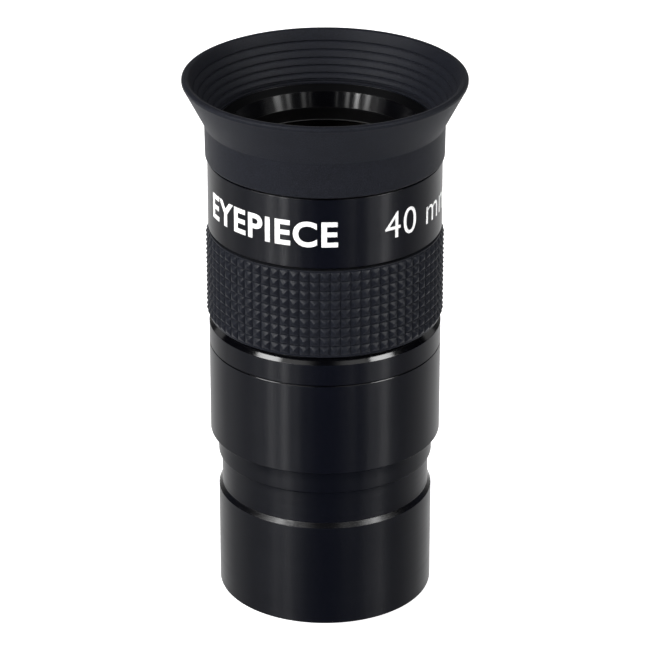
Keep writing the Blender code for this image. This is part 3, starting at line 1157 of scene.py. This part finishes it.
@dataclass
class LensGroup:
    """Two cemented doublets with their crowns facing, the spacer and the retaining ring.

    Attributes:
        radius: radius of the lenses.
        top: height of the eye lens's upper edge.
        outer_curve: radius of curvature of the two outer faces.
        cemented_curve: radius of curvature of the cemented faces.
        inner_curve: radius of curvature of the two facing crowns.
        flint_edge: edge thickness of a flint.
        crown_edge: edge thickness of a crown.
        crown_gap: air between the two crowns on the axis.
        spacer_radius: clear radius of the spacer.
        retainer_radius: clear radius of the retaining ring.
        retainer_height: height of the retaining ring.
        slot: width and depth of the retaining ring's spanner slots.
    """
    radius: float = 14.1
    top: float = 68.5
    outer_curve: float = 180.0
    cemented_curve: float = 31.0
    inner_curve: float = 43.0
    flint_edge: float = 5.4
    crown_edge: float = 2.18
    crown_gap: float = 0.5
    spacer_radius: float = 13.2
    retainer_radius: float = 12.9
    retainer_height: float = 2.2
    slot: tuple[float, float] = (1.2, 0.9)

    def sag(self, curve: float, radius: float) -> float:
        """Depth of a spherical face at a radius from the axis."""
        return curve - math.sqrt(curve ** 2 - radius ** 2)

    def face_points(self, edge: float, curve: float, steps: int = 14) -> list[Corner]:
        """Points of one lens face, from the axis out.

        Args:
            edge: height of the face's edge.
            curve: radius of curvature, positive where the middle is above the edge.
            steps: stretches from the axis to the edge.

        Returns:
            The points as corners without rounding.
        """
        side = math.copysign(1.0, curve)
        depth = self.sag(abs(curve), self.radius)
        radii = [self.radius * index / steps for index in range(steps + 1)]
        return [
            Corner(radius, edge + side * (depth - self.sag(abs(curve), radius)))
            for radius in radii
        ]

    def lens(
        self,
        name: str,
        node: str,
        glass: Face,
        finishes: Finishes,
        top: tuple[float, float],
        bottom: tuple[float, float],
    ) -> None:
        """Build one lens element.

        Args:
            name: name of the piece.
            node: CAD node that it stands for.
            glass: its glass.
            finishes: the materials.
            top: edge height and curve of its upper face.
            bottom: edge height and curve of its lower face.
        """
        upper = self.face_points(*top)
        lower = self.face_points(*bottom)
        item = turn(name, upper + lower[::-1], glass, finishes, closed=False, steps=96)
        place(item, "housing", "optical_glass", [node])

    def build(self, finishes: Finishes) -> None:
        """Build and dress the lenses and their rings."""
        gap = 0.02
        eye_joint = self.top - self.flint_edge
        eye_bottom = eye_joint - gap - self.crown_edge
        inner_sag = self.sag(self.inner_curve, self.radius)
        field_top = eye_bottom - self.crown_gap - 2 * inner_sag
        field_joint = field_top - self.crown_edge
        field_bottom = field_joint - gap - self.flint_edge
        self.lens(
            "eye_flint", "eye_lens_flint", Face.FLINT, finishes,
            (self.top, -self.outer_curve), (eye_joint, self.cemented_curve),
        )
        self.lens(
            "eye_crown", "eye_lens_crown", Face.CROWN, finishes,
            (eye_joint - gap, self.cemented_curve), (eye_bottom, -self.inner_curve),
        )
        self.lens(
            "field_crown", "field_lens_crown", Face.CROWN, finishes,
            (field_top, self.inner_curve), (field_joint, -self.cemented_curve),
        )
        self.lens(
            "field_flint", "field_lens_flint", Face.FLINT, finishes,
            (field_joint - gap, -self.cemented_curve), (field_bottom, self.outer_curve),
        )
        self.build_spacer(finishes, eye_bottom, field_top)
        self.build_retainer(finishes, field_bottom - gap)

    def build_spacer(self, finishes: Finishes, above: float, below: float) -> None:
        """Build the ring between the doublets.

        Args:
            finishes: the materials.
            above: edge height of the lens above it.
            below: edge height of the lens below it.
        """
        bulge = self.sag(self.inner_curve, self.radius)
        bulge -= self.sag(self.inner_curve, self.spacer_radius)
        ring = turn("lens_spacer", [
            Corner(self.radius, above - bulge - 0.03, 0.06),
            Corner(self.radius, below + bulge + 0.03, 0.06),
            Corner(self.spacer_radius, below + bulge + 0.03, 0.06),
            Corner(self.spacer_radius, above - bulge - 0.03, 0.06),
        ], Face.BLACKED, finishes)
        place(ring, "housing", "blackened_metal", ["lens_spacer_ring"])

    def build_retainer(self, finishes: Finishes, top: float) -> None:
        """Build the threaded ring with two spanner slots under the lenses.

        Args:
            finishes: the materials.
            top: height of its upper face.
        """
        bottom = top - self.retainer_height
        ring = turn("retaining_ring", [
            Corner(self.radius + 0.2, top, 0.08),
            Corner(self.radius + 0.2, bottom, 0.08),
            Corner(self.retainer_radius, bottom, 0.08),
            Corner(self.retainer_radius, top, 0.08),
        ], Face.BLACKED, finishes)
        width, depth = self.slot
        shape = bmesh.new()
        bmesh.ops.create_cube(shape, size=1.0)
        bmesh.ops.scale(shape, vec=Vector((3 * self.radius, width, 2 * depth)) * MM, verts=shape.verts)
        bmesh.ops.translate(shape, vec=(0, 0, bottom * MM), verts=shape.verts)
        mesh = bpy.data.meshes.new("spanner")
        shape.to_mesh(mesh)
        shape.free()
        mesh.materials.append(finishes.get(Face.BLACKED))
        spanner = add_object("spanner", mesh)
        slots = ring.modifiers.new("spanner_slots", "BOOLEAN")
        slots.operation = "DIFFERENCE"
        slots.solver = "EXACT"
        slots.object = spanner
        freeze(ring)
        bpy.data.objects.remove(spanner)
        ring.data.set_sharp_from_angle(angle=SHARP_ANGLE)
        place(ring, "housing", "blackened_metal", ["lens_retaining_ring"])


@dataclass
class Eyecup:
    """Soft rubber cup in one moulding: sleeve, flare with ribs inside, and rounded lip.

    Attributes:
        sleeve: bottom and top of the sleeve.
        sleeve_radius: its outer radius at its bottom and at the fold.
        bore: its inner radius.
        bead: heights of the bead in the spigot's groove, and how far it stands in.
        fold: height where the flare starts.
        slope: outer radius that the flare gains per unit of height.
        lip_bottom: height where the flare meets the lip.
        lip_top: height of the lip's top.
        lip_radius: largest outer radius of the lip.
        lip_inner: inner radius of the lip's top.
        ribs: radius and height of each rib's outer corner, from the lip down.
        rib_groove: depth and width of the groove under each rib.
        rib_swell: how far the land above each rib swells inwards.
    """
    sleeve: tuple[float, float] = (68.69, 73.6)
    sleeve_radius: tuple[float, float] = (17.30, 17.37)
    bore: float = 15.73
    bead: tuple[float, float, float] = (70.3, 71.3, 0.45)
    fold: float = 73.84
    slope: float = 0.517
    lip_bottom: float = 79.9
    lip_top: float = 80.6
    lip_radius: float = 20.55
    lip_inner: float = 19.72
    ribs: tuple[tuple[float, float], ...] = (
        (18.85, 78.97), (18.2, 77.88), (17.6, 76.82), (17.05, 75.84), (16.5, 74.84), (16.02, 74.06),
    )
    rib_groove: tuple[float, float] = (0.17, 0.22)
    rib_swell: float = 0.07

    def outer_radius(self, height: float) -> float:
        """Outer radius of the flare at a height."""
        return self.sleeve_radius[1] + self.slope * (height - self.fold)

    def flare_outside(self) -> list[Corner]:
        """Corners down the outside of the flare, close together."""
        count = 22
        step = (self.lip_bottom - 0.15 - self.fold) / count
        heights = [self.lip_bottom - 0.15 - index * step for index in range(count)]
        return [Corner(self.outer_radius(height), height) for height in heights]

    def flare_inside(self) -> list[Corner]:
        """Corners up the inside of the flare: a groove, then a sloping land, for each rib."""
        depth, width = self.rib_groove
        corners = []
        ribs = list(reversed(self.ribs))
        for index, (radius, height) in enumerate(ribs):
            corners.append(Corner(radius - 0.02, height - width, 0.05))
            corners.append(Corner(radius + depth, height - width * 0.75, 0.06))
            corners.append(Corner(radius + depth, height, 0.06))
            corners.append(Corner(radius + 0.06, height + 0.04, 0.06))
            if index + 1 < len(ribs):
                next_radius, next_height = ribs[index + 1]
                for share, swell in ((0.3, 0.75), (0.6, 1.0), (0.85, 0.55)):
                    corners.append(Corner(
                        radius + 0.06 + (next_radius - radius - 0.08) * share
                        - self.rib_swell * swell,
                        height + 0.04 + (next_height - width - height - 0.04) * share,
                    ))
        return corners

    def build(self, finishes: Finishes) -> None:
        """Build the whole cup as one turned ring, from its sleeve to its lip."""
        bottom, top = self.sleeve
        bead_low, bead_high, bead_depth = self.bead
        bead_radius = self.bore - bead_depth
        bottom_radius, fold_radius = self.sleeve_radius
        outside = [
            Corner(self.lip_inner + 0.38, self.lip_top, 0.25),
            Corner(self.lip_radius, self.lip_top - 0.22, 0.28),
            Corner(self.lip_radius - 0.02, self.lip_bottom + 0.02, 0.25),
        ]
        outside += self.flare_outside()
        outside += [
            Corner(fold_radius, self.fold, 0.5),
            Corner(fold_radius - 0.02, top - 1.2),
            Corner(bottom_radius, bottom, 0.28),
        ]
        inside = [
            Corner(self.bore, bottom, 0.10),
            Corner(self.bore, bead_low, 0.10),
            Corner(bead_radius, bead_low + 0.05, 0.12),
            Corner(bead_radius, bead_high - 0.05, 0.12),
            Corner(self.bore, bead_high, 0.10),
            Corner(self.bore, top + 0.02, 0.05),
            Corner(self.bore + 0.8, top + 0.10, 0.06),
        ]
        inside += self.flare_inside()
        inside += [
            Corner(19.2, 79.8),
            Corner(self.lip_inner - 0.1, self.lip_top - 0.1, 0.3),
        ]
        cup = turn("eyecup", outside + inside, Face.CUP, finishes)
        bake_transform(cup)
        nodes = ("eyecup_sleeve", "eyecup_flare", "eyecup_rim")
        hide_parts(*nodes)
        agree(cup, nodes)
        report(cup)


# ---------------------------------------------------------------- studio


@dataclass
class Softbox:
    """A rectangular light that faces the eyepiece.

    Attributes:
        name: its name.
        azimuth: degrees from the front, positive to the right.
        elevation: degrees above the horizon.
        spread: half of the angle that it fills across and upwards, degrees.
        radiance: brightness of its face.
        mirrored: whether glossy surfaces show it.
        scattered: whether it lights matt surfaces, and so casts a shadow on the floor.
        distance: from the eyepiece, metres.
    """
    name: str
    azimuth: float
    elevation: float
    spread: tuple[float, float]
    radiance: float
    mirrored: bool = True
    scattered: bool = True
    distance: float = 0.9

    def build(self, target: Vector) -> None:
        """Make the light and aim it at a point."""
        light = bpy.data.lights.new(self.name, "AREA")
        light.shape = "RECTANGLE"
        across, upwards = (math.radians(angle) for angle in self.spread)
        light.size = 2 * self.distance * math.tan(across)
        light.size_y = 2 * self.distance * math.tan(upwards)
        light.energy = self.radiance * math.pi * light.size * light.size_y
        item = add_object(self.name, light)
        bearing = math.radians(self.azimuth)
        rise = math.radians(self.elevation)
        away = Vector((
            math.cos(rise) * math.sin(bearing),
            -math.cos(rise) * math.cos(bearing),
            math.sin(rise),
        ))
        item.location = target + away * self.distance
        item.rotation_euler = away.to_track_quat("Z", "Y").to_euler()
        item.visible_glossy = self.mirrored
        item.visible_diffuse = self.scattered


@dataclass
class Studio:
    """Plain lit floor, soft lights and the camera.

    Attributes:
        target: point that the lights face, metres.
        camera_place: metres.
        camera_pitch: degrees from straight down.
        lens: focal length on a 36 mm wide sensor.
        floor_size: side of the floor, metres.
        floor_glow: strength of the light under the floor.
        floor_painted_shade_radii: radii between which that light fades out under the barrel, into
            painted shade, mm.
        window_bars: azimuth, half width in degrees and radiance of each bar of light in front.
    """
    target: tuple[float, float, float] = (0.0, 0.0, 0.045)
    camera_place: tuple[float, float, float] = (0.0, -0.478417, 0.26123)
    camera_pitch: float = 65.32
    lens: float = 198.0
    floor_size: float = 6.0
    floor_glow: float = 0.95
    # The floor's glow fades out here, painting shade under the barrel.
    floor_painted_shade_radii: tuple[float, float] = (13.0, 15.7)
    window_bars: tuple[tuple[float, float, float], ...] = (
        (-66.0, 1.2, 1.5), (-53.0, 2.7, 7.2), (-39.5, 2.2, 13.5), (-27.5, 1.8, 4.0),
        (-14.5, 1.0, 1.0), (18.0, 1.0, 0.6), (26.0, 2.2, 1.5), (45.0, 2.3, 2.8), (59.5, 4.0, 5.6),
    )

    def build(self) -> None:
        """Make the floor, the world, the lights and the camera."""
        self.build_floor()
        self.build_world()
        middle = Vector(self.target)
        for light in (
            Softbox("key_left_high", -76.0, 52.0, (8.5, 5.5), 9.5),
            Softbox("key_right_high", 76.0, 52.0, (8.0, 5.5), 9.0),
            Softbox("key_left", -66.0, 38.5, (15.0, 4.5), 5.0),
            Softbox("key_right", 67.0, 38.0, (16.0, 5.0), 3.1),
            Softbox("veil_left", -38.0, 52.0, (13.0, 11.0), 0.9),
            Softbox("veil_right", 36.0, 52.0, (12.0, 11.0), 0.8),
            Softbox("low_left", -84.0, 1.0, (20.0, 10.0), 0.5, scattered=False),
            Softbox("rim_left", -133.0, 19.0, (9.0, 5.0), 0.45, scattered=False),
            Softbox("rim_right", 130.0, 20.0, (12.0, 5.0), 0.45, scattered=False),
            Softbox("fill_left", -55.0, 30.0, (22.0, 18.0), 3.0, mirrored=False),
        ):
            light.build(middle)
        for index, (azimuth, width, radiance) in enumerate(self.window_bars):
            bar = Softbox(f"window_bar_{index}", azimuth, 22.0, (width, 14.0), radiance)
            bar.build(middle)
        camera = bpy.data.cameras.new("camera")
        camera.lens = self.lens
        camera.sensor_width = 36.0
        camera.clip_start = 0.01
        item = add_object("camera", camera)
        item.location = self.camera_place
        item.rotation_euler = (math.radians(self.camera_pitch), 0.0, 0.0)
        bpy.context.scene.camera = item
        bpy.context.scene.view_settings.view_transform = "Standard"

    def build_floor(self) -> None:
        """Make the pale floor: opal acrylic lit from below, which the gloss doesn't show."""
        half = self.floor_size / 2
        mesh = bpy.data.meshes.new("floor")
        corners = [(-half, -half, 0.0), (half, -half, 0.0), (half, half, 0.0), (-half, half, 0.0)]
        mesh.from_pydata(corners, [], [(0, 1, 2, 3)])
        floor = add_object("floor", mesh)
        floor.location.z = -FLOOR_DROP * MM
        sheet = LitAcrylic("opal_acrylic_sheet", "ececec", "f4f4f4", self.floor_glow, self.floor_painted_shade_radii)
        mesh.materials.append(sheet.make())
        floor.visible_glossy = False

    def build_world(self) -> None:
        """Make the surroundings: a white sweep behind, a dark room above and in front."""
        world = bpy.data.worlds.new("studio")
        bpy.context.scene.world = world
        world.use_nodes = True
        tree = world.node_tree
        tree.nodes.clear()
        ways = add_node(tree, "ShaderNodeTexCoord").outputs["Generated"]
        axes = add_node(tree, "ShaderNodeSeparateXYZ", {0: ways}).outputs
        lean = remap(tree, axes[2], -0.42, 0.22, end=-0.95, curve="SMOOTHSTEP")
        depth = remap(tree, calculate(tree, "ADD", axes[1], lean), -1.0, 1.0)
        sweep = add_node(tree, "ShaderNodeValToRGB", {"Fac": depth})
        stops = sweep.color_ramp.elements
        stops[0].position = 0.30
        stops[0].color = (0.026, 0.031, 0.056, 1.0)
        stops[1].position = 0.94
        stops[1].color = (1.5, 1.5, 1.5, 1.0)
        for position, value in ((0.42, 0.08), (0.58, 0.27), (0.73, 0.46), (0.85, 0.92)):
            stops.new(position).color = (value, value, value, 1.0)
        ceiling = remap(tree, axes[2], 0.05, 0.45, 1.0, 0.02, "SMOOTHSTEP")
        seen, lit = (
            add_node(tree, "ShaderNodeBackground", {"Color": colour, "Strength": strength})
            for colour, strength in (((1.0, 1.0, 1.0, 1.0), 1.0), (sweep.outputs[0], ceiling))
        )
        eye = add_node(tree, "ShaderNodeLightPath").outputs["Is Camera Ray"]
        choice = {0: eye, 1: lit.outputs[0], 2: seen.outputs[0]}
        both = add_node(tree, "ShaderNodeMixShader", choice)
        add_node(tree, "ShaderNodeOutputWorld", {"Surface": both.outputs[0]})


def main() -> None:
    """Build the eyepiece and its studio."""
    logging.basicConfig(level=logging.INFO, format="%(message)s")
    finishes = Finishes()
    thread = thread_tree()
    Barrel().build(finishes, thread)
    LowerBody().build(finishes, thread)
    UpperHousing().build(finishes)
    RubberGrip().build(finishes)
    LensGroup().build(finishes)
    Eyecup().build(finishes)
    Studio().build()


if __name__ == "__main__":
    main()
